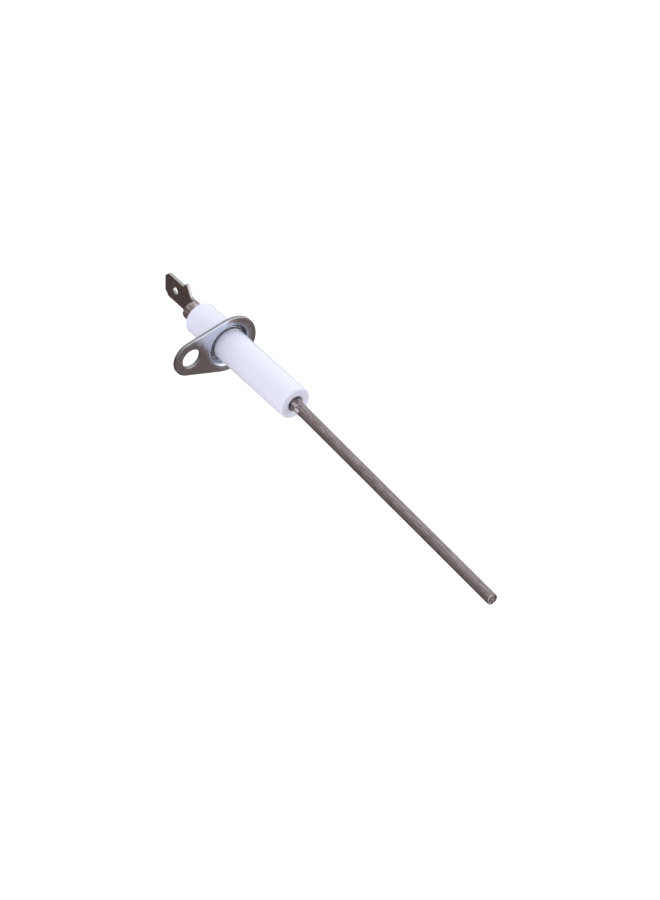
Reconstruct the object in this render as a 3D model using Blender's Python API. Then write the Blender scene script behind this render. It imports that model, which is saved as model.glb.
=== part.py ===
"""Ignition electrode for a gas or oil burner, modelled as its separate pieces.

Metres. The electrode lies along X: the spark end of the rod points to +X and the push-on tab to -X.
The origin is on the electrode's axis, in the plane of the flange face that seats on the burner.
+Z is up, across the width of the tab, and the flange's screw lobe reaches towards -Y.
"""

import math

import bmesh
import bpy
from mathutils import Vector

# Driving dimensions

GAP = 0.0003                      # clearance kept between two pieces that touch

CERAMIC_RADIUS = 0.0038
CERAMIC_BACK = -0.0113            # terminal end of the tube
CERAMIC_FRONT = 0.0236            # spark end of the tube
CERAMIC_EDGE = 0.0005             # rounding of the tube's end edges
GROOVE_DEPTH = 0.0005             # groove that the retaining ring snaps into

ROD_RADIUS = 0.00127
ROD_REACH = 0.0697                # length of rod that stands out of the tube
ROD_DROP = math.radians(1.3)      # the bare rod leans down a little where it leaves the tube
ROD_SWAY = math.radians(-1.8)     # and a little towards the screw lobe
ROD_BACK = -0.0143
ROD_CHAMFER = 0.00018
PINCHES = ((0.0240, 1.0), (0.0261, 0.4))    # place and strength of the marks that hold the rod
PINCH_REACH = 0.0008              # each pinch fades out this far to either side
PINCH_SQUEEZE = 0.18              # the rod loses this share of its thickness
PINCH_SPREAD = 0.20               # and gains this share of its width
PINCH_TURN = math.radians(45)     # the pinching jaws closed from this far above level

MOUTH_RADIUS = 0.0018             # counterbore at the spark end, which clears the pinch
MOUTH_DEPTH = 0.0040
MOUTH_BEVEL = 0.00015
BORE_RADIUS = ROD_RADIUS + GAP
CEMENT_POCKET_RADIUS = 0.0026     # counterbore at the terminal end, filled with cement
CEMENT_POCKET_DEPTH = 0.0070

FLANGE_THICKNESS = 0.0008
FLANGE_RADIUS = 0.0069            # round part of the flange, about the electrode's axis
LOBE_RADIUS = 0.0043              # round end about the screw hole
LOBE_DISTANCE = 0.0101            # from the electrode's axis to the screw hole
SCREW_HOLE_RADIUS = 0.0023
FLANGE_TURN = math.radians(4.8)   # the lobe sits this much above level
FLANGE_EDGE = 0.00015             # rounding left by the stamping
COLLAR_INSIDE = 0.0047            # drawn collar that holds the retaining ring
COLLAR_WALL = 0.0007
COLLAR_END = -0.0021
COLLAR_FILLET = 0.0008            # roll of the face into the collar

RING_BACK = -0.0019
RING_FRONT = -0.0008

TAB_WIDTH = 0.0063                # standard push-on blade, 6.3 by 0.8 mm
TAB_THICKNESS = 0.0008
TAB_END = -0.0251
TAB_FACE = 0.0007                 # how far the blade's near face lies behind the axis
TAB_RAISE = 0.0002                # the blade sits this much above the axis
TAB_NOSE = 0.0012                 # corners cut off the blade's end
TAB_SHOULDER = 0.0011             # how far each shoulder stands out past the blade
TAB_NECK = 0.0034                 # width of the strip that joins the blade to the barrel
SHOULDER_START = -0.0184
SHOULDER_END = -0.0171
NECK_START = -0.0157
TAB_HOLE_RADIUS = 0.0010
TAB_HOLE_PLACE = -0.0214
BARREL_INSIDE = ROD_RADIUS + GAP
BARREL_RADIUS = 0.00225
BARREL_BACK = -0.0145
BARREL_FRONT = CERAMIC_BACK - GAP
BARREL_SEAM = math.radians(7)     # half of the opening left between the rolled edges
STRIP_INTO_BARREL = 0.0004        # the strip runs on inside the barrel's wall

ROUND = 72                        # sides of a turned piece
ROD_SIDES = 40
CORNER_STEPS = 4


def clear_scene():
    for obj in list(bpy.data.objects):
        bpy.data.objects.remove(obj, do_unlink=True)


def make_material(name, colour, roughness, metallic):
    material = bpy.data.materials.new(name)
    material.use_nodes = True
    shader = material.node_tree.nodes["Principled BSDF"]
    shader.inputs["Base Color"].default_value = (*colour, 1.0)
    shader.inputs["Roughness"].default_value = roughness
    shader.inputs["Metallic"].default_value = metallic
    material.diffuse_color = (*colour, 1.0)
    return material


def add_piece(name, bm, material):
    """Turn a finished bmesh into a smooth-shaded object in the scene."""
    bmesh.ops.remove_doubles(bm, verts=bm.verts, dist=1e-7)
    bmesh.ops.recalc_face_normals(bm, faces=bm.faces)
    mesh = bpy.data.meshes.new(name)
    bm.to_mesh(mesh)
    bm.free()
    mesh.materials.append(material)
    mesh.shade_smooth()
    mesh.set_sharp_from_angle(angle=math.radians(35))
    piece = bpy.data.objects.new(name, mesh)
    bpy.context.collection.objects.link(piece)
    return piece


def arc(centre_x, centre_r, radius, start, end, steps=CORNER_STEPS):
    """Points (x, r) along an arc, angles in degrees from the +X direction towards +r."""
    points = []
    for i in range(steps + 1):
        angle = math.radians(start + (end - start) * i / steps)
        points.append((centre_x + radius * math.cos(angle), centre_r + radius * math.sin(angle)))
    return points


def ring_of_points(x, radius, count=ROUND):
    step = 2 * math.pi / count
    return [Vector((x, radius * math.cos(i * step), radius * math.sin(i * step))) for i in range(count)]


def add_loop(bm, points):
    return [bm.verts.new(point) for point in points]


def join_loops(bm, first, second):
    """Quads between two closed loops that have the same number of vertices."""
    count = len(first)
    for i in range(count):
        j = (i + 1) % count
        bm.faces.new((first[i], first[j], second[j], second[i]))


def turned(bm, profile, closed=True):
    """Revolve (x, r) points about the X axis. A closed profile gives a body with a bore."""
    loops = [add_loop(bm, ring_of_points(x, r)) for x, r in profile]
    for first, second in zip(loops, loops[1:]):
        join_loops(bm, first, second)
    if closed:
        join_loops(bm, loops[-1], loops[0])
    return loops


def ceramic_profile():
    """Half section of the tube: outer skin with its groove, then the stepped bore."""
    edge = CERAMIC_EDGE
    groove_floor = CERAMIC_RADIUS - GROOVE_DEPTH
    outer = arc(CERAMIC_BACK + edge, CERAMIC_RADIUS - edge, edge, 180, 90)
    outer += [
        (RING_BACK - GAP, CERAMIC_RADIUS),
        (RING_BACK - GAP, groove_floor),
        (RING_FRONT + GAP, groove_floor),
        (RING_FRONT + GAP, CERAMIC_RADIUS),
    ]
    outer += arc(CERAMIC_FRONT - edge, CERAMIC_RADIUS - edge, edge, 90, 0)
    mouth_floor = CERAMIC_FRONT - MOUTH_DEPTH
    pocket_floor = CERAMIC_BACK + CEMENT_POCKET_DEPTH
    inner = [
        (CERAMIC_FRONT, MOUTH_RADIUS + MOUTH_BEVEL),
        (CERAMIC_FRONT - MOUTH_BEVEL, MOUTH_RADIUS),
        (mouth_floor, MOUTH_RADIUS),
        (mouth_floor, BORE_RADIUS),
        (pocket_floor, BORE_RADIUS),
        (pocket_floor, CEMENT_POCKET_RADIUS),
        (CERAMIC_BACK, CEMENT_POCKET_RADIUS),
    ]
    return outer + inner


def make_ceramic_insulator(material):
    bm = bmesh.new()
    turned(bm, ceramic_profile())
    return add_piece("ceramic_insulator", bm, material)


def make_bore_cement(material):
    """Refractory cement that locks the rod in the tube's rear pocket."""
    inside = ROD_RADIUS + GAP
    outside = CEMENT_POCKET_RADIUS - GAP
    front = CERAMIC_BACK + CEMENT_POCKET_DEPTH - GAP
    back = CERAMIC_BACK + GAP
    bm = bmesh.new()
    turned(bm, [(back, inside), (back, outside), (front, outside), (front, inside)])
    return add_piece("bore_cement", bm, material)


def make_retaining_ring(material):
    """Spring steel ring between the tube's groove and the flange's collar."""
    inside = CERAMIC_RADIUS - GROOVE_DEPTH + GAP
    outside = COLLAR_INSIDE - GAP
    corner = (outside - inside) * 0.4
    profile = [(RING_BACK, inside), (RING_BACK, outside)]
    profile += arc(RING_FRONT - corner, outside - corner, corner, 90, 0)
    profile += [(RING_FRONT, inside)]
    bm = bmesh.new()
    turned(bm, profile)
    return add_piece("retaining_ring", bm, material)


def pear_outline(x, inset):
    """The flange's edge: two arcs joined by their common tangents, drawn in the plane at x."""
    tilt = math.asin((FLANGE_RADIUS - LOBE_RADIUS) / LOBE_DISTANCE)
    big = FLANGE_RADIUS - inset
    small = LOBE_RADIUS - inset
    points = []
    for centre, radius, start, end, steps in (
        (0.0, big, math.pi / 2 + tilt, -math.pi / 2 - tilt, 44),
        (LOBE_DISTANCE, small, -math.pi / 2 - tilt, -3 * math.pi / 2 + tilt, 28),
    ):
        for i in range(steps + 1):
            angle = start + (end - start) * i / steps
            along = -centre + radius * math.cos(angle)
            across = radius * math.sin(angle)
            points.append((along, across))
    turn_cos = math.cos(-FLANGE_TURN)
    turn_sin = math.sin(-FLANGE_TURN)
    return [Vector((x, a * turn_cos - b * turn_sin, a * turn_sin + b * turn_cos)) for a, b in points]


def screw_hole_loop(x, radius, count=32):
    centre = Vector((x, -LOBE_DISTANCE * math.cos(FLANGE_TURN), LOBE_DISTANCE * math.sin(FLANGE_TURN)))
    return [centre + point for point in ring_of_points(0.0, radius, count)]


def fill_between(bm, loops, normal):
    """Flat face bounded by the first loop and pierced by the others."""
    edges = []
    for loop in loops:
        for first, second in zip(loop, loop[1:] + loop[:1]):
            edges.append(bm.edges.get((first, second)) or bm.edges.new((first, second)))
    bmesh.ops.triangle_fill(bm, use_beauty=True, use_dissolve=False, edges=edges, normal=normal)


def make_mounting_flange(material):
    """Stamped pear-shaped plate with a screw hole and a collar drawn towards the terminal."""
    back = -FLANGE_THICKNESS
    edge = FLANGE_EDGE
    bm = bmesh.new()

    rim = [(0.0, edge), (-edge, 0.0), (back + edge, 0.0), (back, edge)]
    rim_loops = [add_loop(bm, pear_outline(x, inset)) for x, inset in rim]
    hole = [(0.0, edge), (-edge, 0.0), (back + edge, 0.0), (back, edge)]
    hole_loops = [add_loop(bm, screw_hole_loop(x, SCREW_HOLE_RADIUS + flare)) for x, flare in hole]

    collar_outside = COLLAR_INSIDE + COLLAR_WALL
    collar = arc(-COLLAR_FILLET, COLLAR_INSIDE + COLLAR_FILLET, COLLAR_FILLET, 0, -90, 6)
    collar += [
        (COLLAR_END, COLLAR_INSIDE),
        (COLLAR_END, collar_outside - edge),
        (COLLAR_END + edge, collar_outside),
        (back, collar_outside),
    ]
    collar_loops = turned(bm, collar, closed=False)

    for loops in (rim_loops, hole_loops):
        for first, second in zip(loops, loops[1:]):
            join_loops(bm, first, second)
    fill_between(bm, [rim_loops[0], hole_loops[0], collar_loops[0]], (1, 0, 0))
    fill_between(bm, [rim_loops[-1], hole_loops[-1], collar_loops[-1]], (-1, 0, 0))
    return add_piece("mounting_flange", bm, material)


def pinch_depth(x):
    """How deep the jaws bit at this place on the rod: 0 not at all, 1 at the middle of a pinch."""
    depth = 0.0
    for place, strength in PINCHES:
        share = abs(x - place) / PINCH_REACH
        if share < 1.0:
            depth = strength * (0.5 + 0.5 * math.cos(math.pi * share))
    return depth


def rod_stations():
    """Distances along the rod's axis where a section is needed."""
    stations = [ROD_BACK]
    steps = 6
    for place, _ in PINCHES:
        stations += [place + PINCH_REACH * (2 * i / steps - 1) for i in range(steps + 1)]
    tip = CERAMIC_FRONT + ROD_REACH
    return stations + [tip - ROD_CHAMFER, tip]


def rod_centre(x):
    """The rod runs straight through the tube and leans from its mouth on."""
    beyond = max(x - CERAMIC_FRONT, 0.0)
    lean = Vector((
        math.cos(ROD_DROP) * math.cos(ROD_SWAY),
        math.cos(ROD_DROP) * math.sin(ROD_SWAY),
        -math.sin(ROD_DROP),
    ))
    return Vector((x - beyond, 0.0, 0.0)) + lean * beyond


def rod_section(x):
    depth = pinch_depth(x)
    thickness = 1.0 - PINCH_SQUEEZE * depth
    width = 1.0 + PINCH_SPREAD * depth
    at_tip = x > CERAMIC_FRONT + ROD_REACH - ROD_CHAMFER / 2
    radius = ROD_RADIUS - (ROD_CHAMFER if at_tip else 0.0)
    squeezed = Vector((0.0, -math.cos(PINCH_TURN), math.sin(PINCH_TURN)))
    spread = Vector((0.0, math.sin(PINCH_TURN), math.cos(PINCH_TURN)))
    centre = rod_centre(x)
    points = []
    for point in ring_of_points(0.0, radius, ROD_SIDES):
        points.append(centre + squeezed * point.y * thickness + spread * point.z * width)
    return points


def make_electrode_rod(material):
    """Heat-resistant wire, straight through the tube, pinched and bent a little at its mouth."""
    bm = bmesh.new()
    loops = [add_loop(bm, rod_section(x)) for x in rod_stations()]
    for first, second in zip(loops, loops[1:]):
        join_loops(bm, first, second)
    bm.faces.new(loops[0])
    bm.faces.new(loops[-1])
    return add_piece("electrode_rod", bm, material)


def strip_stations():
    """(x, half width, roll) along the terminal's strip. Roll goes from 0, flat, to 1, barrel."""
    half = TAB_WIDTH / 2
    shoulder = half + TAB_SHOULDER
    neck = TAB_NECK / 2
    stations = [
        (TAB_END, half - TAB_NOSE, 0.0),
        (TAB_END + TAB_NOSE, half, 0.0),
        (SHOULDER_START, half, 0.0),
        (SHOULDER_START + TAB_SHOULDER * 0.6, shoulder, 0.0),
        (SHOULDER_END, shoulder, 0.0),
        (NECK_START, neck, 0.0),
    ]
    steps = 6
    for i in range(1, steps + 1):
        share = i / steps
        roll = share * share * (3 - 2 * share)
        stations.append((NECK_START + (BARREL_BACK - NECK_START) * share, neck, roll))
    stations.append((BARREL_BACK + STRIP_INTO_BARREL, neck, 1.0))
    return stations


def strip_section(x, half, roll, columns=8):
    """One closed section of the strip: its near face, then back along its far face."""
    tuck = (BARREL_RADIUS - BARREL_INSIDE) * 0.15
    faces = (
        (TAB_FACE, BARREL_INSIDE + tuck, range(columns + 1)),
        (TAB_FACE + TAB_THICKNESS, BARREL_RADIUS - tuck, range(columns, -1, -1)),
    )
    points = []
    for flat_y, radius, order in faces:
        for i in order:
            across = half * (2 * i / columns - 1)
            angle = across / BARREL_RADIUS
            flat = Vector((x, flat_y, across + TAB_RAISE))
            rolled = Vector((x, radius * math.cos(angle), radius * math.sin(angle)))
            points.append(flat.lerp(rolled, roll))
    return points


def make_strip():
    bm = bmesh.new()
    loops = [add_loop(bm, strip_section(*station)) for station in strip_stations()]
    for first, second in zip(loops, loops[1:]):
        join_loops(bm, first, second)
    for end in (loops[0], loops[-1]):
        count = len(end)
        for i in range(count // 2 - 1):
            bm.faces.new((end[i], end[i + 1], end[count - 2 - i], end[count - 1 - i]))
    return bm


def make_barrel():
    """Open tube rolled from the strip, with its seam on the near side."""
    columns = 40
    reach = math.pi - BARREL_SEAM
    bm = bmesh.new()
    ends = []
    for x in (BARREL_BACK, BARREL_FRONT):
        rows = []
        for radius in (BARREL_RADIUS, BARREL_INSIDE):
            angles = [reach * (2 * i / columns - 1) for i in range(columns + 1)]
            rows.append([bm.verts.new((x, radius * math.cos(a), radius * math.sin(a))) for a in angles])
        ends.append(rows)
    (outer_back, inner_back), (outer_front, inner_front) = ends
    for i in range(columns):
        j = i + 1
        bm.faces.new((outer_back[i], outer_back[j], outer_front[j], outer_front[i]))
        bm.faces.new((inner_back[j], inner_back[i], inner_front[i], inner_front[j]))
        bm.faces.new((outer_back[j], outer_back[i], inner_back[i], inner_back[j]))
        bm.faces.new((outer_front[i], outer_front[j], inner_front[j], inner_front[i]))
    for i in (0, columns):
        bm.faces.new((outer_back[i], outer_front[i], inner_front[i], inner_back[i]))
    return bm


def make_tab_hole():
    """Cutter for the round hole that a push-on connector's dimple snaps into."""
    bm = bmesh.new()
    loops = []
    for y in (TAB_FACE - TAB_THICKNESS, TAB_FACE + 2 * TAB_THICKNESS):
        circle = ring_of_points(0.0, TAB_HOLE_RADIUS, 28)
        loops.append(add_loop(bm, [Vector((TAB_HOLE_PLACE + p.y, y, p.z + TAB_RAISE)) for p in circle]))
    join_loops(bm, loops[0], loops[1])
    bm.faces.new(loops[0])
    bm.faces.new(loops[1])
    return bm


def combine(target, tool, operation):
    tool.hide_render = True
    tool.display_type = "WIRE"
    modifier = target.modifiers.new(tool.name, "BOOLEAN")
    modifier.operation = operation
    modifier.solver = "EXACT"
    modifier.object = tool


def make_terminal_tab(material):
    """Blade, shoulders and neck in one strip that is rolled into a barrel round the rod."""
    tab = add_piece("terminal_tab", make_strip(), material)
    barrel = add_piece("tab_barrel_shape", make_barrel(), material)
    hole = add_piece("tab_hole_cutter", make_tab_hole(), material)
    combine(tab, barrel, "UNION")
    combine(tab, hole, "DIFFERENCE")
    return tab


def main():
    clear_scene()
    alumina = make_material("glazed alumina", (0.80, 0.81, 0.93), 0.22, 0.0)
    cement = make_material("refractory cement", (0.55, 0.52, 0.47), 0.9, 0.0)
    kanthal = make_material("drawn heat-resistant wire", (0.22, 0.19, 0.18), 0.42, 1.0)
    zinc = make_material("zinc-plated steel", (0.50, 0.52, 0.56), 0.3, 1.0)
    spring = make_material("spring steel", (0.42, 0.42, 0.43), 0.35, 1.0)
    nickel = make_material("nickel-plated steel", (0.30, 0.26, 0.23), 0.3, 1.0)
    make_ceramic_insulator(alumina)
    make_bore_cement(cement)
    make_electrode_rod(kanthal)
    make_mounting_flange(zinc)
    make_retaining_ring(spring)
    make_terminal_tab(nickel)


main()
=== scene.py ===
"""Looks of the ignition electrode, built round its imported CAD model.

Metres. +X runs towards the spark end, +Z is up, and the origin is on the electrode's axis in the
plane of the flange's seat. Each visible piece is a finer mesh of the CAD node that it replaces.
"""

import math

import bmesh
import bpy
from mathutils import Matrix, Vector, noise
from mathutils.geometry import delaunay_2d_cdt


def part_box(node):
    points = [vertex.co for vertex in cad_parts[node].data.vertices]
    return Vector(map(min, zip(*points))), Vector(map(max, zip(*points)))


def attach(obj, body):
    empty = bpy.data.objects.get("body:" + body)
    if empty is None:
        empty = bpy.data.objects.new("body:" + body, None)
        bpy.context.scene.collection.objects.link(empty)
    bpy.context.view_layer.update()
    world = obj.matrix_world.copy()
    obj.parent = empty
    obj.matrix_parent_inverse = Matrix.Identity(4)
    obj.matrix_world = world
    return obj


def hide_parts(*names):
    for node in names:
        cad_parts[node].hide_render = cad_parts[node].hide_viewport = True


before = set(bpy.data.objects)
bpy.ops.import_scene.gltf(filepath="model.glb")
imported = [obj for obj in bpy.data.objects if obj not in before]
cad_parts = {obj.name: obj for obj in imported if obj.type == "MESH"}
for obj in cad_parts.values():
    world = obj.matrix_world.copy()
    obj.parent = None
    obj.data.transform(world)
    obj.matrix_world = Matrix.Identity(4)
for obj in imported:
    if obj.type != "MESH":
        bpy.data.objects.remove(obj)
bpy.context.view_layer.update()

TUBE_LOW, TUBE_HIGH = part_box("ceramic_insulator")
FLANGE_LOW, FLANGE_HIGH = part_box("mounting_flange")
RING_LOW, RING_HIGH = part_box("retaining_ring")
CEMENT_LOW, CEMENT_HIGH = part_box("bore_cement")
ROD_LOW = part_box("electrode_rod")[0]
TAB_LOW, TAB_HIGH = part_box("terminal_tab")

# Sizes that the boxes don't give. Whole shapes have the CAD model's sizes. The finest edges, the
# tool marks and the barrel's nearly closed seam are this script's own.

GAP = 0.0003                      # clearance between solids in the CAD model
CONTACT = 0.00002                 # what is left between two pieces that really touch

TUBE_RADIUS = TUBE_HIGH.z
TUBE_EDGE = 0.0005
GROOVE_DEPTH = 0.0005
GROOVE_EDGE = 0.0001
MOUTH_RADIUS = 0.0018
MOUTH_DEPTH = 0.0040
MOUTH_EDGE = 0.00022
POCKET_RADIUS = CEMENT_HIGH.z + GAP
POCKET_DEPTH = 0.0070
CEMENT_LUMP = GAP * 0.8           # how far the cement's rear face is uneven
CEMENT_LUMP_SCALE = 1800          # lumps per metre

RING_SKIRT = 0.00028              # length of the wide part that seats in the collar
RING_LIP = 0.00045                # how far the lip stands out from the tube
RING_EDGE = 0.0001

ROD_RADIUS = 0.00127
ROD_REACH = 0.0697                # length of rod outside the tube
ROD_TIP = TUBE_HIGH.x + ROD_REACH     # measured along the leaning rod
ROD_DROP = math.radians(1.3)
ROD_SWAY = math.radians(-1.8)
ROD_EDGE = 0.00022
BORE_RADIUS = ROD_RADIUS + GAP

# The sheared tip
TIP_DISH = 0.00007                # how far its middle lies below its rim
TIP_DENT = 0.00009                # height of its unevenness
TIP_DENT_SCALE = 1500             # dents per metre
PIT_OFFSET = Vector((0.0, -0.00035, 0.0004))
PIT_RADIUS = 0.00034
PIT_DEPTH = 0.0002
PIT_REACH = 1.3                   # the pit fades out at this many of its radii

# The staked length at the tube's mouth
PINCHES = ((0.0240, 1.0), (0.0261, 0.4))      # place and strength
PINCH_REACH = 0.0008
PINCH_SQUEEZE = 0.18
PINCH_SPREAD = 0.20
PINCH_TURN = math.radians(45)
CHISEL_CUTS = (                   # start, end, and turn from the screw lobe's side over the top
    (0.02355, 0.02505, math.radians(45)),
    (0.0248, 0.0263, math.radians(15)),
)
CHISEL_WIDTH = 0.00078
CHISEL_DEPTH = 0.00040
CHISEL_WALL = 0.22                # share of a cut's width that is its steep wall
CHISEL_RUNOUT = 0.25              # share of a cut's half length over which it fades out
STAKED_START = 0.0230
STAKED_END = 0.0272

FLANGE_THICKNESS = 0.0008
FLANGE_RADIUS = FLANGE_HIGH.z
FLANGE_ROLL = 0.00013             # rounding of the front edges, where the punch went in
FLANGE_CRISP = 0.00006            # rounding of the back edges
LOBE_RADIUS = 0.0043
LOBE_DISTANCE = 0.0101
SCREW_HOLE_RADIUS = 0.0023
FLANGE_TURN = math.radians(4.8)
SCREW_Y = -LOBE_DISTANCE * math.cos(FLANGE_TURN)
SCREW_Z = LOBE_DISTANCE * math.sin(FLANGE_TURN)
COLLAR_INSIDE = 0.0047
COLLAR_WALL = 0.0007
COLLAR_FILLET = 0.0008
BOW_HEIGHT = 0.00005              # unevenness of the plate
BOW_SCALE = 260                   # bumps per metre
BOW_START = 0.001                 # it grows to its full height this far from the collar

BLADE_FACE = 0.0007
BLADE_THICKNESS = 0.0008
BLADE_HALF = 0.00315
BLADE_RAISE = 0.0002
BLADE_NOSE = 0.0012
SHOULDER_HALF = 0.00425
SHOULDER_START = -0.0184
SHOULDER_SLANT = 0.00066
SHOULDER_END = -0.0171
NECK_HALF = 0.0017
NECK_START = -0.0157
LATCH_RADIUS = 0.0010
LATCH_PLACE = -0.0214
BARREL_BACK = -0.0145
BARREL_INSIDE = ROD_RADIUS + GAP
BARREL_RADIUS = 0.00225
BARREL_SEAM = math.radians(1.5)
TAB_BEVEL = 0.00009
TAB_BEVEL_MIDDLE = 0.3            # the edge bulges through this share of its depth and inset

# Mesh density and tolerances

WELD_DISTANCE = 0.000001
SHARP_ANGLE = math.radians(40)
CORNER_STEP = math.radians(12)    # turn of each step round an outline's corner
STEEPEST_MITRE = 0.5              # keeps an inset corner from shooting out
ROW_HEIGHT = 0.87                 # of the rows of points in a face, as a share of their spacing
TUBE_SIDES = 160
CEMENT_SIDES = 96
CEMENT_RINGS = 6
RING_SIDES = 128
ROD_SIDES = 120
ROD_STAKED_STEP = 0.00006
ROD_PLAIN_STEP = 0.001
TIP_RINGS = 20
COLLAR_SIDES = 144
SCREW_HOLE_SIDES = 72
FLANGE_ROUND_STEPS = 96
FLANGE_LOBE_STEPS = 56
FLANGE_FRONT_SPACING = 0.00045
FLANGE_BACK_SPACING = 0.0009
LATCH_SIDES = 48
TAB_SPACING = 0.00028

# Surface colours. A pair runs from the darker to the paler shade.

GLAZE = ((0.765, 0.785, 0.955, 1.0), (0.80, 0.82, 0.965, 1.0))
# the ground ends' darker colour is partly the bare ceramic's own tone and partly painted shade
GROUND_CERAMIC_AND_SHADE = ((0.60, 0.605, 0.735, 1.0), (0.71, 0.715, 0.825, 1.0))
CEMENT = ((0.42, 0.39, 0.34, 1.0), (0.68, 0.65, 0.59, 1.0))
OXIDE = ((0.16, 0.123, 0.117, 1.0), (0.38, 0.332, 0.345, 1.0))
OXIDE_PATCH = (0.23, 0.175, 0.15, 1.0)
BARE_WIRE = (0.92, 0.88, 0.90, 1.0)
SHEARED_WIRE = ((0.08, 0.06, 0.055, 1.0), (0.55, 0.505, 0.495, 1.0))
BRIGHT_ZINC = ((0.59, 0.63, 0.70, 1.0), (0.79, 0.83, 0.92, 1.0))
# painted reflection: this darker brownish zinc stands in for dark surroundings mirrored in the
# plate
PAINTED_REFLECTION_ZINC = ((0.32, 0.29, 0.28, 1.0), (0.54, 0.505, 0.50, 1.0))
PUNCHED_EDGE = (0.25, 0.255, 0.27, 1.0)
SPRING_STEEL = ((0.42, 0.43, 0.46, 1.0), (0.66, 0.67, 0.70, 1.0))
CLEAN_NICKEL = ((0.23, 0.195, 0.18, 1.0), (0.36, 0.315, 0.295, 1.0))
# painted shade and painted reflection: dark and pale streaks along the barrel
PAINTED_BARREL_BANDS = ((0.21, 0.17, 0.155, 1.0), (0.60, 0.53, 0.535, 1.0))
CUT_STRIP_EDGE = (0.40, 0.375, 0.365, 1.0)

# Colours of the light, brightness and tint in one

DARK_WALL = (0.195, 0.16, 0.155, 1.0)
GREY_WALL = (0.50, 0.47, 0.46, 1.0)
BIG_LIGHT = (1.12, 1.14, 1.18, 1.0)
SMALL_LIGHT = (2.2, 2.2, 2.27, 1.0)
WHITE = (1.0, 1.0, 1.0, 1.0)
FLOOR_COLOUR = (0.95, 0.95, 0.95, 1.0)


# Mesh helpers


def add_piece(name, bm, material, stands_for):
    """Finish a bmesh as a smooth-shaded piece that stands for a CAD node."""
    bmesh.ops.remove_doubles(bm, verts=bm.verts, dist=WELD_DISTANCE)
    bmesh.ops.recalc_face_normals(bm, faces=bm.faces)
    mesh = bpy.data.meshes.new(name)
    bm.to_mesh(mesh)
    bm.free()
    mesh.materials.append(material)
    mesh.shade_smooth()
    mesh.set_sharp_from_angle(angle=SHARP_ANGLE)
    piece = bpy.data.objects.new(name, mesh)
    bpy.context.scene.collection.objects.link(piece)
    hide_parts(stands_for)
    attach(piece, "root")


def arc(centre_a, centre_b, radius, start, end, steps):
    """Points along an arc in a plane, with the angles in degrees."""
    points = []
    for i in range(steps + 1):
        angle = math.radians(start + (end - start) * i / steps)
        points.append((centre_a + radius * math.cos(angle), centre_b + radius * math.sin(angle)))
    return points


def add_loop(bm, points):
    return [bm.verts.new(point) for point in points]


def join_loops(bm, loops, closed=False):
    """Quads between each closed loop of vertices and the next."""
    pairs = list(zip(loops, loops[1:]))
    if closed:
        pairs.append((loops[-1], loops[0]))
    for first, second in pairs:
        count = len(first)
        for i in range(count):
            j = (i + 1) % count
            bm.faces.new((first[i], first[j], second[j], second[i]))


def ring_of_points(x, radius, count):
    """Points of a circle round the X axis."""
    return [Vector((x, point.x, point.y)) for point in circle_2d(0.0, 0.0, radius, count)]


def turned(bm, profile, count, closed=True):
    """Revolve (x, r) points about the X axis."""
    join_loops(bm, [add_loop(bm, ring_of_points(x, r, count)) for x, r in profile], closed)


def circle_2d(centre_u, centre_v, radius, count):
    step = 2 * math.pi / count
    return [
        Vector((centre_u + radius * math.cos(i * step), centre_v + radius * math.sin(i * step)))
        for i in range(count)
    ]


def inset_2d(loop, amount):
    """Move a closed outline towards its left-hand side by the given amount."""
    moved = []
    count = len(loop)
    for i in range(count):
        before = (loop[i] - loop[i - 1]).normalized()
        after = (loop[(i + 1) % count] - loop[i]).normalized()
        normal = Vector((-before.y - after.y, before.x + after.x)).normalized()
        stretch = max(normal.dot(Vector((-after.y, after.x))), STEEPEST_MITRE)
        moved.append(loop[i] + normal * (amount / stretch))
    return moved


def is_inside(point, loop):
    """Whether a line from the point to its right crosses the outline an odd number of times."""
    inside = False
    for a, b in zip(loop, loop[1:] + loop[:1]):
        if (a.y > point.y) != (b.y > point.y):
            if point.x < a.x + (point.y - a.y) * (b.x - a.x) / (b.y - a.y):
                inside = not inside
    return inside


def distance_to(point, loop):
    """Distance from a point to the nearest side of an outline."""
    no_length = 1e-14
    nearest = math.inf
    for a, b in zip(loop, loop[1:] + loop[:1]):
        span = b - a
        share = min(max((point - a).dot(span) / max(span.length_squared, no_length), 0.0), 1.0)
        nearest = min(nearest, (a + span * share - point).length)
    return nearest


def fill_face(bm, loops, place, spacing):
    """Evenly meshed face inside the first outline and outside the others, bent by place."""
    outer = loops[0]
    holes = loops[1:]

    def in_face(point):
        return is_inside(point, outer) and not any(is_inside(point, hole) for hole in holes)

    points = [point for loop in loops for point in loop]
    edges = []
    start = 0
    for loop in loops:
        edges += [(start + i, start + (i + 1) % len(loop)) for i in range(len(loop))]
        start += len(loop)
    low_u = min(p.x for p in outer)
    high_u = max(p.x for p in outer)
    low_v = min(p.y for p in outer)
    high_v = max(p.y for p in outer)
    row = 0
    v = low_v + spacing
    while v < high_v:
        u = low_u + spacing * (1.0 if row % 2 else 0.5)
        while u < high_u:
            point = Vector((u, v))
            if in_face(point) and min(distance_to(point, loop) for loop in loops) > spacing * 0.5:
                points.append(point)
            u += spacing
        v += spacing * ROW_HEIGHT
        row += 1
    hull_triangles = 0
    tolerance = 1e-7
    coords, _, faces, *_ = delaunay_2d_cdt(points, edges, [], hull_triangles, tolerance)
    verts = [bm.verts.new(place(c.x, c.y)) for c in coords]
    for face in faces:
        centre = sum((coords[i] for i in face), Vector((0.0, 0.0))) / len(face)
        if in_face(centre):
            bm.faces.new([verts[i] for i in face])


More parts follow.
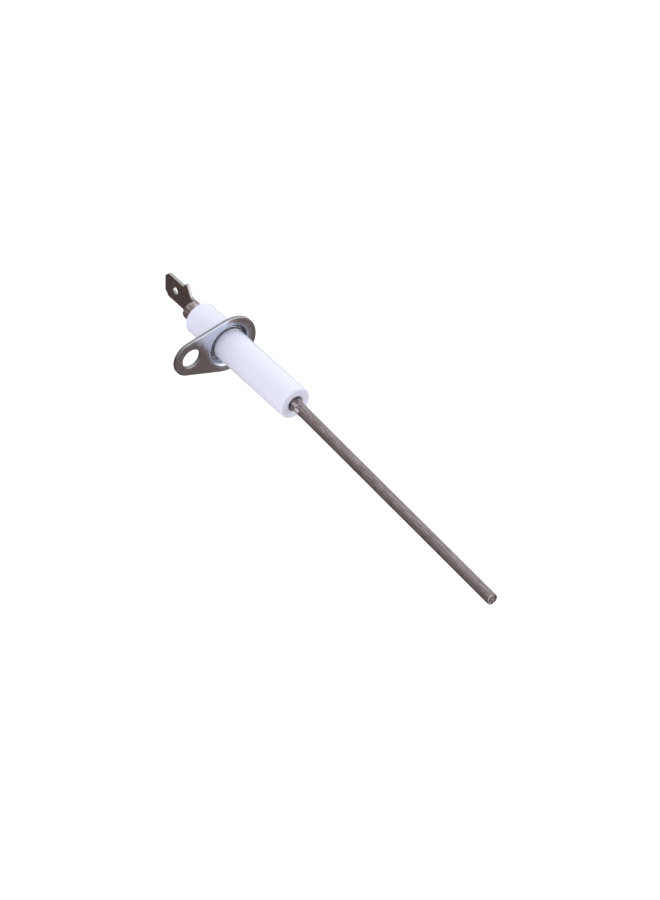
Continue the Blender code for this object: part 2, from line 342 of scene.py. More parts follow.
def rounded_outline(corners):
    """Closed outline from (u, v, radius) corners, each turned into an arc."""
    outline = []
    count = len(corners)
    for i in range(count):
        here = Vector(corners[i][:2])
        to_before = (Vector(corners[i - 1][:2]) - here).normalized()
        to_after = (Vector(corners[(i + 1) % count][:2]) - here).normalized()
        radius = corners[i][2]
        half = to_before.angle(to_after) / 2
        centre = here + (to_before + to_after).normalized() * (radius / math.sin(half))
        first = here + to_before * (radius / math.tan(half)) - centre
        last = here + to_after * (radius / math.tan(half)) - centre
        turn = first.angle_signed(last)
        steps = max(2, round(abs(turn) / CORNER_STEP))
        for k in range(steps + 1):
            outline.append(centre + Matrix.Rotation(-turn * k / steps, 2) @ first)
    return outline


def smooth_step(share):
    share = min(max(share, 0.0), 1.0)
    return share * share * (3 - 2 * share)


# Pieces


def tube_profile():
    """(x, r) points from the rear end along the outside, and back through the bore."""
    edge = TUBE_EDGE
    lip = GROOVE_EDGE
    groove_floor = TUBE_RADIUS - GROOVE_DEPTH
    groove_back = RING_LOW.x - GAP
    groove_front = RING_HIGH.x + GAP
    outer = arc(TUBE_LOW.x + edge, TUBE_RADIUS - edge, edge, 180, 90, steps=12)
    outer += arc(groove_back - lip, TUBE_RADIUS - lip, lip, 90, 0, steps=4)
    outer += [(groove_back, groove_floor), (groove_front, groove_floor)]
    outer += arc(groove_front + lip, TUBE_RADIUS - lip, lip, 180, 90, steps=4)
    outer += arc(TUBE_HIGH.x - edge, TUBE_RADIUS - edge, edge, 90, 0, steps=12)
    mouth_floor = TUBE_HIGH.x - MOUTH_DEPTH
    pocket_floor = TUBE_LOW.x + POCKET_DEPTH
    inner = arc(TUBE_HIGH.x - MOUTH_EDGE, MOUTH_RADIUS + MOUTH_EDGE, MOUTH_EDGE, 0, -90, steps=6)
    inner += [
        (mouth_floor, MOUTH_RADIUS),
        (mouth_floor, BORE_RADIUS),
        (pocket_floor, BORE_RADIUS),
        (pocket_floor, POCKET_RADIUS),
        (TUBE_LOW.x, POCKET_RADIUS),
    ]
    return outer + inner


def make_tube(material):
    bm = bmesh.new()
    turned(bm, tube_profile(), TUBE_SIDES)
    add_piece("glazed_tube", bm, material, "ceramic_insulator")


def make_cement(material):
    """Cement in the tube's rear pocket, round the rod, with a lumpy rear face."""
    inside = BORE_RADIUS
    outside = CEMENT_HIGH.z
    profile = [(CEMENT_HIGH.x, inside), (CEMENT_HIGH.x, outside), (CEMENT_LOW.x, outside)]
    for i in range(1, CEMENT_RINGS):
        share = i / CEMENT_RINGS
        profile.append((CEMENT_LOW.x, outside + (inside - outside) * share))
    profile.append((CEMENT_LOW.x, inside))
    bm = bmesh.new()
    turned(bm, profile, CEMENT_SIDES)
    for vert in bm.verts:
        if vert.co.x < CEMENT_LOW.x + GAP / 2:
            vert.co.x += CEMENT_LUMP * noise.noise(vert.co * CEMENT_LUMP_SCALE)
    add_piece("cement_fill", bm, material, "bore_cement")


def make_ring(material):
    """Spring ring: its lip hugs the tube, and its skirt seats in the flange's collar."""
    low = RING_LOW.x
    high = RING_HIGH.x
    edge = RING_EDGE
    inside = TUBE_RADIUS - GROOVE_DEPTH + CONTACT
    outside = COLLAR_INSIDE - CONTACT
    skirt_end = low + RING_SKIRT
    lip_outside = TUBE_RADIUS + RING_LIP
    profile = [(low, inside), (low, outside)]
    profile += arc(skirt_end - edge, outside - edge, edge, 90, 0, steps=4)
    profile += [(skirt_end, lip_outside)]
    profile += arc(high - edge, lip_outside - edge, edge, 90, 0, steps=6)
    profile += arc(high - edge, TUBE_RADIUS + CONTACT + edge, edge, 0, -90, steps=6)
    profile += [(low + edge, TUBE_RADIUS + CONTACT), (low + edge, inside)]
    bm = bmesh.new()
    turned(bm, profile, RING_SIDES)
    add_piece("snap_ring", bm, material, "retaining_ring")


def pear_outline():
    """The flange's edge in (y, z), counter-clockwise seen from the spark end."""
    tilt = math.asin((FLANGE_RADIUS - LOBE_RADIUS) / LOBE_DISTANCE)
    turn = Matrix.Rotation(-FLANGE_TURN, 2)
    points = []
    lobe_start = math.pi / 2 + tilt
    lobe_end = 3 * math.pi / 2 - tilt
    for centre, radius, start, end, steps in (
        (0.0, FLANGE_RADIUS, -lobe_start, lobe_start, FLANGE_ROUND_STEPS),
        (-LOBE_DISTANCE, LOBE_RADIUS, lobe_start, lobe_end, FLANGE_LOBE_STEPS),
    ):
        for i in range(steps + 1):
            angle = start + (end - start) * i / steps
            point = Vector((centre + radius * math.cos(angle), radius * math.sin(angle)))
            points.append(turn @ point)
    return points


def plate_bow(y, z):
    """Small unevenness that stamping leaves in the plate, none of it next to the collar."""
    beyond_collar = math.hypot(y, z) - COLLAR_INSIDE - COLLAR_FILLET
    bow = BOW_HEIGHT * noise.noise(Vector((y, z, 0.0)) * BOW_SCALE)
    return bow * smooth_step(beyond_collar / BOW_START)


def make_flange(material):
    """Stamped plate with a drawn collar, rolled-over front edges and crisp back edges."""
    back = -FLANGE_THICKNESS
    roll = FLANGE_ROLL
    crisp = FLANGE_CRISP
    bm = bmesh.new()

    def at(x):
        return lambda y, z: Vector((x + plate_bow(y, z), y, z))

    def screw_circle(inset):
        return circle_2d(SCREW_Y, SCREW_Z, SCREW_HOLE_RADIUS + inset, SCREW_HOLE_SIDES)

    outline = pear_outline()
    rim = arc(-roll, roll, roll, 0, -90, steps=6)
    rim += arc(back + crisp, crisp, crisp, -90, -180, steps=3)
    rim_loops = [[at(x)(*p) for p in inset_2d(outline, inset)] for x, inset in rim]
    hole_loops = [[at(x)(*p) for p in screw_circle(inset)] for x, inset in rim]
    join_loops(bm, [add_loop(bm, loop) for loop in rim_loops])
    join_loops(bm, [add_loop(bm, loop) for loop in hole_loops])

    outside = COLLAR_INSIDE + COLLAR_WALL
    collar_end = FLANGE_LOW.x
    collar = arc(-COLLAR_FILLET, COLLAR_INSIDE + COLLAR_FILLET, COLLAR_FILLET, 0, -90, steps=14)
    collar += arc(collar_end + crisp, COLLAR_INSIDE + crisp, crisp, -90, -180, steps=2)
    collar += arc(collar_end + crisp, outside - crisp, crisp, 180, 90, steps=2)
    collar += [(back, outside)]
    turned(bm, collar, COLLAR_SIDES, closed=False)

    front_inset = rim[0][1]
    front_loops = [
        inset_2d(outline, front_inset),
        screw_circle(front_inset),
        circle_2d(0.0, 0.0, collar[0][1], COLLAR_SIDES),
    ]
    fill_face(bm, front_loops, at(0.0), FLANGE_FRONT_SPACING)
    back_inset = rim[-1][1]
    back_loops = [
        inset_2d(outline, back_inset),
        screw_circle(back_inset),
        circle_2d(0.0, 0.0, outside, COLLAR_SIDES),
    ]
    fill_face(bm, back_loops, at(back), FLANGE_BACK_SPACING)
    add_piece("stamped_flange", bm, material, "mounting_flange")


def rod_centre(x):
    """The rod runs straight through the tube and leans from its mouth on."""
    beyond = max(x - TUBE_HIGH.x, 0.0)
    lean = Vector((
        math.cos(ROD_DROP) * math.cos(ROD_SWAY),
        math.cos(ROD_DROP) * math.sin(ROD_SWAY),
        -math.sin(ROD_DROP),
    ))
    return Vector((x - beyond, 0.0, 0.0)) + lean * beyond


def pinch_shape(x, angle):
    """Radius of the rod, as a share, where the tool bit it at the tube's mouth."""
    share = 1.0
    for place, strength in PINCHES:
        reach = abs(x - place) / PINCH_REACH
        if reach < 1.0:
            depth = strength * (0.5 + 0.5 * math.cos(math.pi * reach))
            across = math.cos(2 * (angle - PINCH_TURN))
            change = PINCH_SQUEEZE * max(across, 0.0) + PINCH_SPREAD * min(across, 0.0)
            share *= 1.0 - depth * change
    return share


def chisel_depth(x, angle):
    """Depth of the chisel cuts at the tube's mouth: each has a flat ramp and a steep upper wall."""
    depth = 0.0
    for start, end, turn in CHISEL_CUTS:
        middle = (start + end) / 2
        along = abs(x - middle) / (end - start) * 2
        across = (angle - turn) * ROD_RADIUS / CHISEL_WIDTH + 0.5
        if along < 1.0 and 0.0 < across < 1.0:
            ramp = min(across / (1.0 - CHISEL_WALL), (1.0 - across) / CHISEL_WALL)
            depth += CHISEL_DEPTH * ramp * smooth_step((1.0 - along) / CHISEL_RUNOUT)
    return depth


def rod_point(x, angle, radius):
    """Angles run from -Y, the screw lobe's side, over the top."""
    away = Vector((0.0, -math.cos(angle), math.sin(angle)))
    return rod_centre(x) + away * (radius * pinch_shape(x, angle) - chisel_depth(x, angle))


def rod_stations():
    """(x, radius) of every section, closest together where the rod is staked."""
    stations = [(ROD_LOW.x, ROD_RADIUS - ROD_EDGE), (ROD_LOW.x + ROD_EDGE, ROD_RADIUS)]
    x = STAKED_START
    while x < STAKED_END:
        stations.append((x, ROD_RADIUS))
        x += ROD_STAKED_STEP
    x += ROD_PLAIN_STEP / 2
    while x < ROD_TIP - ROD_PLAIN_STEP:
        stations.append((x, ROD_RADIUS))
        x += ROD_PLAIN_STEP
    return stations + arc(ROD_TIP - ROD_EDGE, ROD_RADIUS - ROD_EDGE, ROD_EDGE, 90, 0, steps=6)


def rod_section(x, radius):
    step = 2 * math.pi / ROD_SIDES
    return [rod_point(x, i * step - math.pi / 2, radius) for i in range(ROD_SIDES)]


def cut_depth(point, share):
    """How far the sheared tip lies below its rim. Share runs from the rim to the middle."""
    pit = (point - rod_centre(ROD_TIP) - PIT_OFFSET).length / PIT_RADIUS
    depth = TIP_DISH * share - TIP_DENT * noise.noise(point * TIP_DENT_SCALE)
    depth += PIT_DEPTH * smooth_step(PIT_REACH - pit)
    return max(depth, 0.0)


def make_rod(material):
    """Wire through the tube, with rounded ends and an uneven, pitted cut at its tip."""
    bm = bmesh.new()
    loops = [add_loop(bm, rod_section(x, radius)) for x, radius in rod_stations()]
    join_loops(bm, loops)
    bm.faces.new(loops[0])
    cap = ROD_RADIUS - ROD_EDGE
    cap_loops = [loops[-1]]
    for k in range(1, TIP_RINGS):
        share = k / TIP_RINGS
        points = rod_section(ROD_TIP, cap * (1 - share))
        cut = [p - Vector((cut_depth(p, share), 0.0, 0.0)) for p in points]
        cap_loops.append(add_loop(bm, cut))
    join_loops(bm, cap_loops)
    bm.faces.new(cap_loops[-1])
    add_piece("drawn_rod", bm, material, "electrode_rod")


def blank_outline():
    """The tab's flat blank in (x, width), before its end is rolled into a barrel."""
    wide = (math.pi - BARREL_SEAM) * (BARREL_INSIDE + BARREL_RADIUS) / 2
    front = TAB_HIGH.x
    half = [                      # place, half width and corner radius
        (TAB_LOW.x, BLADE_HALF - BLADE_NOSE, 0.0004),
        (TAB_LOW.x + BLADE_NOSE, BLADE_HALF, 0.0005),
        (SHOULDER_START, BLADE_HALF, 0.0002),
        (SHOULDER_START + SHOULDER_SLANT, SHOULDER_HALF, 0.00025),
        (SHOULDER_END, SHOULDER_HALF, 0.00025),
        (NECK_START, NECK_HALF, 0.0003),
        (BARREL_BACK, NECK_HALF, 0.0001),
        (BARREL_BACK, wide, 0.0001),
        (front, wide, 0.0001),
    ]
    mirrored = [(u, -v, r) for u, v, r in half]
    return rounded_outline(mirrored + list(reversed(half)))


def roll_up(x, across, depth):
    """Where a point of the flat blank ends up. Depth is 0 on the near face and 1 on the far one."""
    roll = smooth_step((x - NECK_START) / (BARREL_BACK - NECK_START))
    wall = BARREL_RADIUS - BARREL_INSIDE
    thickness = BLADE_THICKNESS + (wall - BLADE_THICKNESS) * roll
    flat_middle = BLADE_FACE + BLADE_THICKNESS / 2
    barrel_middle = (BARREL_INSIDE + BARREL_RADIUS) / 2
    middle = flat_middle + (barrel_middle - flat_middle) * roll
    through = (depth - 0.5) * thickness
    raise_z = BLADE_RAISE * (1 - roll)
    nearly_flat = 0.001
    if roll < nearly_flat:
        return Vector((x, middle + through, across + raise_z))
    bend = barrel_middle / roll
    angle = across / bend
    centre_y = middle - bend
    radius = bend + through
    return Vector((x, centre_y + radius * math.cos(angle), radius * math.sin(angle) + raise_z))


def make_tab(material):
    """Blade, shoulders, neck and barrel, stamped as one blank and rolled up."""
    outline = blank_outline()
    bevel = TAB_BEVEL
    bevel_depth = bevel / BLADE_THICKNESS
    middle = TAB_BEVEL_MIDDLE
    rim = [                       # depth into the thickness, and inset from the outline
        (0.0, bevel),
        (bevel_depth * middle, bevel * middle),
        (bevel_depth, 0.0),
        (1 - bevel_depth, 0.0),
        (1 - bevel_depth * middle, bevel * middle),
        (1.0, bevel),
    ]

    def latch_circle(inset):
        return circle_2d(LATCH_PLACE, 0.0, LATCH_RADIUS + inset, LATCH_SIDES)

    bm = bmesh.new()
    rim_loops = []
    hole_loops = []
    for depth, inset in rim:
        edge = [roll_up(p.x, p.y, depth) for p in inset_2d(outline, inset)]
        rim_loops.append(add_loop(bm, edge))
        hole_edge = [roll_up(p.x, p.y, depth) for p in latch_circle(inset)]
        hole_loops.append(add_loop(bm, hole_edge))
    join_loops(bm, rim_loops)
    join_loops(bm, hole_loops)
    for depth in (0.0, 1.0):
        loops = [inset_2d(outline, bevel), latch_circle(bevel)]
        fill_face(bm, loops, lambda u, v, d=depth: roll_up(u, v, d), TAB_SPACING)
    add_piece("rolled_tab", bm, material, "terminal_tab")


# Materials


def new_material(name):
    material = bpy.data.materials.new(name)
    material.use_nodes = True
    tree = material.node_tree
    return material, tree, tree.nodes["Principled BSDF"]


def add_node(tree, kind, inputs, **settings):
    """Make a shader node. An input's value is a socket to link, a number, a colour or a vector."""
    made = tree.nodes.new("ShaderNode" + kind)
    for name, value in settings.items():
        setattr(made, name, value)
    for key, value in inputs.items():
        if isinstance(value, bpy.types.NodeSocket):
            tree.links.new(value, made.inputs[key])
        else:
            made.inputs[key].default_value = value
    return made


def calculate(tree, operation, first, second=0.0, third=0.0):
    """Result of one Math node."""
    node = add_node(tree, "Math", {0: first, 1: second, 2: third}, operation=operation)
    return node.outputs[0]


def fade(tree, value, start, end):
    """0 before start, 1 past end, and smooth between. Start may be the larger."""
    inputs = {"Value": value, "From Min": start, "From Max": end}
    node = add_node(tree, "MapRange", inputs, interpolation_type="SMOOTHSTEP")
    return node.outputs["Result"]


def place_in_object(tree):
    return add_node(tree, "TexCoord", {}).outputs["Object"]


def split(tree, vector):
    return add_node(tree, "SeparateXYZ", {0: vector}).outputs


def scaled(tree, vector, scale):
    node = add_node(tree, "VectorMath", {0: vector, 1: scale}, operation="MULTIPLY")
    return node.outputs[0]


def grain(tree, vector, scale, detail=3.0, roughness=0.55):
    """Noise from 0 to 1. Scale is in features per metre."""
    inputs = {"Vector": vector, "Scale": scale, "Detail": detail, "Roughness": roughness}
    return add_node(tree, "TexNoise", inputs).outputs["Fac"]


def blend_colours(tree, share, first, second):
    node = add_node(tree, "Mix", {0: share, 6: first, 7: second}, data_type="RGBA")
    return node.outputs[2]


def between(tree, share, low, high):
    """Number that goes from low to high with the share."""
    inputs = {"Value": share, "To Min": low, "To Max": high}
    return add_node(tree, "MapRange", inputs).outputs["Result"]


def add_bump(tree, shader, height, distance):
    node = add_node(tree, "Bump", {"Height": height, "Distance": distance, "Strength": 1.0})
    tree.links.new(node.outputs["Normal"], shader.inputs["Normal"])


def feed(tree, shader, **sockets):
    """Link sockets to the shader's inputs, whose names have _ in place of a space."""
    for name, socket in sockets.items():
        tree.links.new(socket, shader.inputs[name.replace("_", " ")])


def make_alumina():
    """Smooth glazed skin, with ground and unglazed ends, darker partly from the bare ceramic's own
    tone and partly as painted shade.
    """
    material, tree, shader = new_material("glazed alumina")
    place = place_in_object(tree)
    x = split(tree, place)["X"]
    thin = 0.00014                # the glaze starts to give out this far from each end
    gone = 0.00004                # and is gone here
    near_front = fade(tree, x, TUBE_HIGH.x - thin, TUBE_HIGH.x - gone)
    near_back = fade(tree, x, TUBE_LOW.x + thin, TUBE_LOW.x + gone)
    ground = calculate(tree, "MAXIMUM", near_front, near_back)
    cloud = grain(tree, place, scale=350)
    fine = grain(tree, place, scale=9000, detail=4.0)
    skin = blend_colours(tree, cloud, *GLAZE)
    # partly the ground ceramic's own tone, partly painted shade on the end faces
    sawn_and_shade = blend_colours(tree, fine, *GROUND_CERAMIC_AND_SHADE)
    colour = blend_colours(tree, ground, skin, sawn_and_shade)
    rough = between(tree, ground, low=0.36, high=0.7)
    feed(tree, shader, Base_Color=colour, Roughness=rough)
    height = calculate(tree, "MULTIPLY", fine, between(tree, ground, low=0.15, high=1.0))
    add_bump(tree, shader, height, distance=0.00002)
    shader.inputs["Coat Weight"].default_value = 0.6
    shader.inputs["Coat Roughness"].default_value = 0.15
    return material


def make_cement_material():
    """Rough and lumpy, pale grey-brown."""
    material, tree, shader = new_material("refractory cement")
    lumps = grain(tree, place_in_object(tree), scale=2500, detail=5.0)
    feed(tree, shader, Base_Color=blend_colours(tree, lumps, *CEMENT))
    shader.inputs["Roughness"].default_value = 0.92
    add_bump(tree, shader, lumps, distance=0.00012)
    return material


def along_the_rod(tree):
    """Texture space in which the leaning rod lies straight along X."""
    place = split(tree, place_in_object(tree))
    beyond = calculate(tree, "MAXIMUM", calculate(tree, "SUBTRACT", place["X"], TUBE_HIGH.x))
    y = calculate(tree, "MULTIPLY_ADD", beyond, -math.tan(ROD_SWAY), place["Y"])
    z = calculate(tree, "MULTIPLY_ADD", beyond, math.tan(ROD_DROP), place["Z"])
    return add_node(tree, "CombineXYZ", {0: place["X"], 1: y, 2: z}).outputs[0]


def window(tree, value, start, end, edge):
    """1 well between start and end, and 0 outside them."""
    opening = fade(tree, value, start, start + edge)
    return calculate(tree, "MULTIPLY", opening, fade(tree, value, end, end - edge))


def cut_mark(tree, place, start, end, turn):
    """1 where one chisel cut bared the metal, and 0 elsewhere."""
    half = CHISEL_WIDTH / 2
    side_fade = 0.0001
    end_fade = 0.0002
    parts = split(tree, place)
    out_y = calculate(tree, "MULTIPLY", parts["Y"], -math.cos(turn))
    outward = calculate(tree, "MULTIPLY_ADD", parts["Z"], math.sin(turn), out_y)
    side_y = calculate(tree, "MULTIPLY", parts["Y"], math.sin(turn))
    sideways = calculate(tree, "MULTIPLY_ADD", parts["Z"], math.cos(turn), side_y)
    strip = window(tree, sideways, -half, half, side_fade)
    near_side = fade(tree, outward, 0.0, half)
    mark = calculate(tree, "MULTIPLY", strip, near_side)
    return calculate(tree, "MULTIPLY", mark, window(tree, parts["X"], start, end, end_fade))


def bare_wire(tree, place, x):
    """1 where staking the rod rubbed or cut it bare."""
    rubbed = fade(tree, grain(tree, place, scale=2600), start=0.55, end=0.75)
    staked = window(tree, x, STAKED_START, STAKED_END, edge=0.001)
    bare = calculate(tree, "MULTIPLY", rubbed, staked)
    for start, end, turn in CHISEL_CUTS:
        bare = calculate(tree, "MAXIMUM", bare, cut_mark(tree, place, start, end, turn))
    return bare


def make_wire():
    """Drawn wire, streaked under a thin warm oxide, bare where staked, sheared at its tip."""
    material, tree, shader = new_material("drawn heat-resistant wire")
    place = along_the_rod(tree)
    x = split(tree, place)["X"]
    streaks = grain(tree, scaled(tree, place, (0.08, 1.0, 1.0)), scale=4500, roughness=0.7)
    fine = grain(tree, scaled(tree, place, (0.12, 1.0, 1.0)), scale=9000, roughness=0.7)
    patches = grain(tree, scaled(tree, place, (0.3, 1.0, 1.0)), scale=900)
    fine_weight = 0.6
    streak_weight = 0.7
    broad = calculate(tree, "MULTIPLY", streaks, streak_weight)
    drawn = calculate(tree, "MULTIPLY_ADD", fine, fine_weight, broad)
    oxide = blend_colours(tree, fade(tree, drawn, start=0.50, end=0.80), *OXIDE)
    warm = blend_colours(tree, fade(tree, patches, start=0.58, end=0.74), oxide, OXIDE_PATCH)
    side = blend_colours(tree, bare_wire(tree, place, x), warm, BARE_WIRE)
    side_end = 0.0005             # the drawn side ends this far from the tip
    cut_start = 0.00032           # and the sheared end begins here
    cut = fade(tree, x, ROD_TIP - side_end, ROD_TIP - cut_start)
    bright_cut = fade(tree, grain(tree, place, scale=1700, detail=2.0), start=0.42, end=0.66)
    colour = blend_colours(tree, cut, side, blend_colours(tree, bright_cut, *SHEARED_WIRE))
    rough = between(tree, drawn, low=0.30, high=0.52)
    metal = between(tree, cut, low=0.80, high=0.35)
    feed(tree, shader, Base_Color=colour, Roughness=rough, Metallic=metal)
    rubble = calculate(tree, "MULTIPLY", cut, grain(tree, place, scale=3500, detail=4.0))
    height = calculate(tree, "MULTIPLY_ADD", rubble, 2.0, drawn)
    add_bump(tree, shader, height, distance=0.00003)
    return material


def painted_dark_reflection(tree, parts, flat_place, from_axis, cloud):
    """1 on the front round the screw hole and along the lower and far rim, where the zinc is
    painted darker and browner as a painted reflection of dark surroundings.
    """
    wander = between(tree, cloud, low=-0.0008, high=0.0008)

    def faded(distance, start, end):
        return fade(tree, calculate(tree, "ADD", distance, wander), start, end)

    screw = (0.0, SCREW_Y, SCREW_Z)
    node = add_node(tree, "VectorMath", {0: flat_place, 1: screw}, operation="DISTANCE")
    round_hole = faded(node.outputs["Value"], start=0.0045, end=0.0030)
    steepness = 1.6
    slope = calculate(tree, "MULTIPLY_ADD", parts["Y"], steepness, parts["Z"])
    below = faded(slope, start=-0.0085, end=-0.0105)
    beyond = faded(parts["Y"], start=-0.0016, end=0.0006)
    outer = faded(from_axis, start=0.0053, end=0.0060)
    rim = calculate(tree, "MULTIPLY", calculate(tree, "MAXIMUM", below, beyond), outer)
    front = fade(tree, parts["X"], start=-0.0007, end=-0.0001)
    return calculate(tree, "MULTIPLY", calculate(tree, "MAXIMUM", round_hole, rim), front)


def make_zinc():
    """Bright zinc plate with brownish areas of painted dark reflection, and grey on its sheared
    edges and its back.
    """
    material, tree, shader = new_material("zinc-plated steel")
    place = place_in_object(tree)
    parts = split(tree, place)
    cloud = grain(tree, place, scale=900, detail=4.0, roughness=0.6)
    fine = grain(tree, place, scale=6000)
    flat_place = scaled(tree, place, (0.0, 1.0, 1.0))
    length = add_node(tree, "VectorMath", {0: flat_place}, operation="LENGTH")
    from_axis = length.outputs["Value"]
    painted_dark = painted_dark_reflection(tree, parts, flat_place, from_axis, cloud)
    painted_dark = calculate(tree, "MULTIPLY", painted_dark, between(tree, fine, low=0.8, high=1.0))
    bright = blend_colours(tree, cloud, *BRIGHT_ZINC)
    painted_dark_colour = blend_colours(tree, cloud, *PAINTED_REFLECTION_ZINC)
    # painted reflection: darker brownish zinc round the screw hole and along the rim, where the
    # plate mirrors dark surroundings
    colour = blend_colours(tree, painted_dark, bright, painted_dark_colour)
    below_front = fade(tree, parts["X"], start=-0.00013, end=-0.00024)
    past_collar = fade(tree, from_axis, start=0.0056, end=0.0058)
    punched = calculate(tree, "MULTIPLY", below_front, past_collar)
    colour = blend_colours(tree, punched, colour, PUNCHED_EDGE)
    rough = between(tree, cloud, low=0.22, high=0.38)
    feed(tree, shader, Base_Color=colour, Roughness=rough)
    shader.inputs["Metallic"].default_value = 1.0
    height = calculate(tree, "MULTIPLY_ADD", cloud, 4.0, fine)
    add_bump(tree, shader, height, distance=0.000008)
    return material


def make_spring():
    """Plain bright steel, a little cloudy."""
    material, tree, shader = new_material("spring steel")
    cloud = grain(tree, place_in_object(tree), scale=900, detail=2.0)
    colour = blend_colours(tree, cloud, *SPRING_STEEL)
    rough = between(tree, cloud, low=0.2, high=0.34)
    feed(tree, shader, Base_Color=colour, Roughness=rough)
    shader.inputs["Metallic"].default_value = 1.0
    return material


def make_nickel():
    """Plated strip with fine rolling lines and paler cut edges; its barrel carries streaks of
    painted shade and painted reflection.
    """
    material, tree, shader = new_material("nickel-plated steel")
    place = place_in_object(tree)
    parts = split(tree, place)
    cloud = grain(tree, place, scale=1100, detail=4.0, roughness=0.6)
    lines = grain(tree, scaled(tree, place, (1.0, 1.0, 0.05)), scale=7000)
    streaks = grain(tree, scaled(tree, place, (0.12, 1.0, 1.0)), scale=2200, roughness=0.6)
    clean = blend_colours(tree, cloud, *CLEAN_NICKEL)
    # painted shade and painted reflection in streaks along the barrel
    painted_bands = blend_colours(tree, fade(tree, streaks, start=0.38, end=0.64), *PAINTED_BARREL_BANDS)
    skin = 0.00004                # the plated skin ends this far below each face
    cut = 0.00008                 # and the cut metal shows from here
    far_face = BLADE_FACE + BLADE_THICKNESS
    below_near = fade(tree, parts["Y"], BLADE_FACE + skin, BLADE_FACE + cut)
    below_far = fade(tree, parts["Y"], far_face - skin, far_face - cut)
    cut_edge = calculate(tree, "MULTIPLY", below_near, below_far)
    strip = blend_colours(tree, cut_edge, clean, CUT_STRIP_EDGE)
    # the heat mask below marks where the barrel's painted streaks of shade and reflection begin;
    # the barrel is also rougher there
    bands_start = BARREL_BACK - 0.0009
    bands_full = BARREL_BACK + 0.0001
    heat = fade(tree, parts["X"], bands_start, bands_full)
    colour = blend_colours(tree, heat, strip, painted_bands)
    plain_rough = between(tree, cloud, low=0.2, high=0.34)
    rough = calculate(tree, "MULTIPLY_ADD", heat, 0.12, plain_rough)
    feed(tree, shader, Base_Color=colour, Roughness=rough)
    shader.inputs["Metallic"].default_value = 1.0
    height = calculate(tree, "MULTIPLY_ADD", cloud, 2.0, lines)
    add_bump(tree, shader, height, distance=0.000004)
    return material


# Studio


def make_floor():
    """Pale floor that glows a little, and isn't seen in the metal."""
    size = 3.0
    drop = 0.12
    bm = bmesh.new()
    corners = [(-size, -size), (size, -size), (size, size), (-size, size)]
    bm.faces.new([bm.verts.new((x, y, 0.0)) for x, y in corners])
    mesh = bpy.data.meshes.new("studio_floor")
    bm.to_mesh(mesh)
    bm.free()
    material, _, shader = new_material("pale studio floor")
    shader.inputs["Base Color"].default_value = FLOOR_COLOUR
    shader.inputs["Roughness"].default_value = 0.9
    shader.inputs["Emission Color"].default_value = WHITE
    shader.inputs["Emission Strength"].default_value = 0.25
    mesh.materials.append(material)
    floor = bpy.data.objects.new("studio_floor", mesh)
    floor.location.z = -drop
    floor.visible_glossy = False
    bpy.context.scene.collection.objects.link(floor)


def add_card(tree, behind, direction, toward, width, feather, colour):
    """Lay a soft round patch of light over the sky. Width and feather are in degrees."""
    aim = Vector(direction).normalized()
    node = add_node(tree, "VectorMath", {0: toward, 1: aim}, operation="DOT_PRODUCT")
    facing = node.outputs["Value"]
    edge = math.cos(math.radians(width + feather))
    heart = math.cos(math.radians(width))
    return blend_colours(tree, fade(tree, facing, edge, heart), behind, colour)


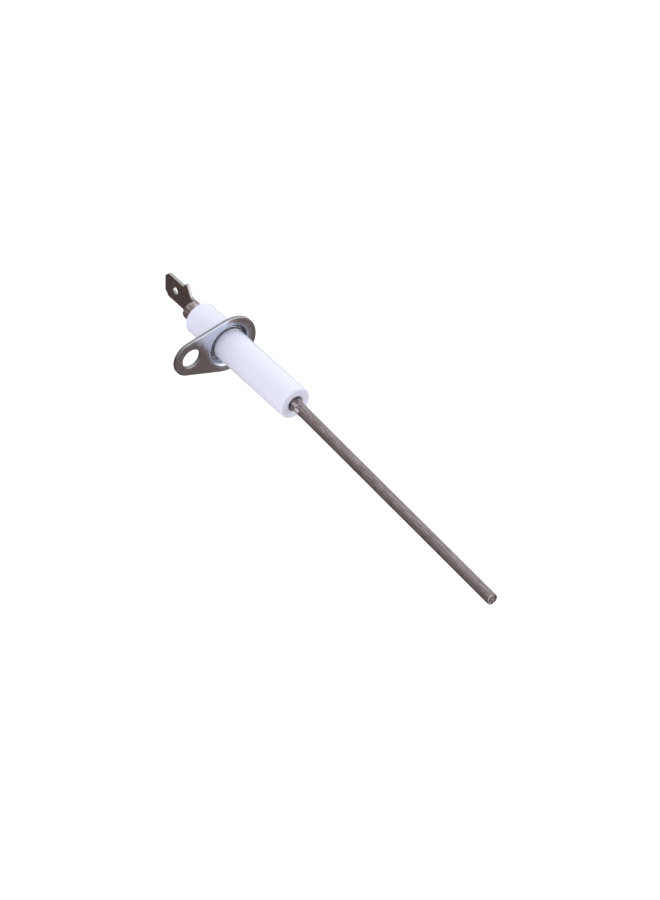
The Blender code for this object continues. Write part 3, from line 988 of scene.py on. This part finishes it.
def make_world():
    """Soft studio: a big light high behind the electrode, a small low one past its spark end.

    The walls are dark below and grey above, and the camera itself sees white.
    """
    world = bpy.data.worlds.new("studio")
    world.use_nodes = True
    bpy.context.scene.world = world
    tree = world.node_tree
    tree.nodes.clear()
    toward = add_node(tree, "TexCoord", {}).outputs["Generated"]
    height = split(tree, toward)["Z"]
    sky = blend_colours(tree, fade(tree, height, start=-0.25, end=0.15), DARK_WALL, GREY_WALL)
    big_direction = (-0.35, 0.60, 0.72)
    sky = add_card(tree, sky, big_direction, toward, width=40, feather=35, colour=BIG_LIGHT)
    small_direction = (0.86, 0.50, 0.05)
    sky = add_card(tree, sky, small_direction, toward, width=20, feather=12, colour=SMALL_LIGHT)
    from_camera = add_node(tree, "LightPath", {}).outputs["Is Camera Ray"]
    colour = blend_colours(tree, from_camera, sky, WHITE)
    background = add_node(tree, "Background", {"Color": colour, "Strength": 1.0})
    output = tree.nodes.new("ShaderNodeOutputWorld")
    tree.links.new(background.outputs[0], output.inputs["Surface"])


def add_softbox(name, place, aim, size, power):
    """Large soft light that brightens matt surfaces but leaves no reflection in the metal."""
    light = bpy.data.lights.new(name, "AREA")
    light.shape = "RECTANGLE"
    light.size = size[0]
    light.size_y = size[1]
    light.energy = power
    lamp = bpy.data.objects.new(name, light)
    lamp.location = place
    lamp.rotation_mode = "QUATERNION"
    lamp.rotation_quaternion = (Vector(aim) - Vector(place)).to_track_quat("-Z", "Y")
    lamp.visible_camera = False
    lamp.visible_glossy = False
    bpy.context.scene.collection.objects.link(lamp)


def make_camera():
    """Long lens at the photo's viewing angle, from above the screw lobe and the spark end."""
    azimuth = math.radians(51.47)
    elevation = math.radians(41.43)
    roll = math.radians(-2.48)
    distance = 0.9
    look_right = 0.02142          # where the camera looks, from the frame's origin
    look_down = 0.02256
    back = Vector((
        math.sin(azimuth) * math.cos(elevation),
        -math.cos(azimuth) * math.cos(elevation),
        math.sin(elevation),
    ))
    level = Vector((math.cos(azimuth), math.sin(azimuth), 0.0))
    upright = back.cross(level)
    right = level * math.cos(roll) - upright * math.sin(roll)
    up = level * math.sin(roll) + upright * math.cos(roll)
    camera_data = bpy.data.cameras.new("camera")
    camera_data.lens = 168.0
    camera = bpy.data.objects.new("camera", camera_data)
    place = right * look_right - up * look_down + back * distance
    turn = Matrix((right, up, back)).transposed()
    camera.matrix_world = Matrix.Translation(place) @ turn.to_4x4()
    bpy.context.scene.collection.objects.link(camera)
    bpy.context.scene.camera = camera


make_camera()
make_world()
add_softbox(
    "camera_side_fill", place=(0.12, -0.62, 0.62), aim=(0.03, 0.0, 0.0), size=(0.9, 0.9), power=3.0
)
make_floor()
make_tube(make_alumina())
make_cement(make_cement_material())
make_rod(make_wire())
make_flange(make_zinc())
make_ring(make_spring())
make_tab(make_nickel())

bpy.context.scene.view_settings.view_transform = "Standard"
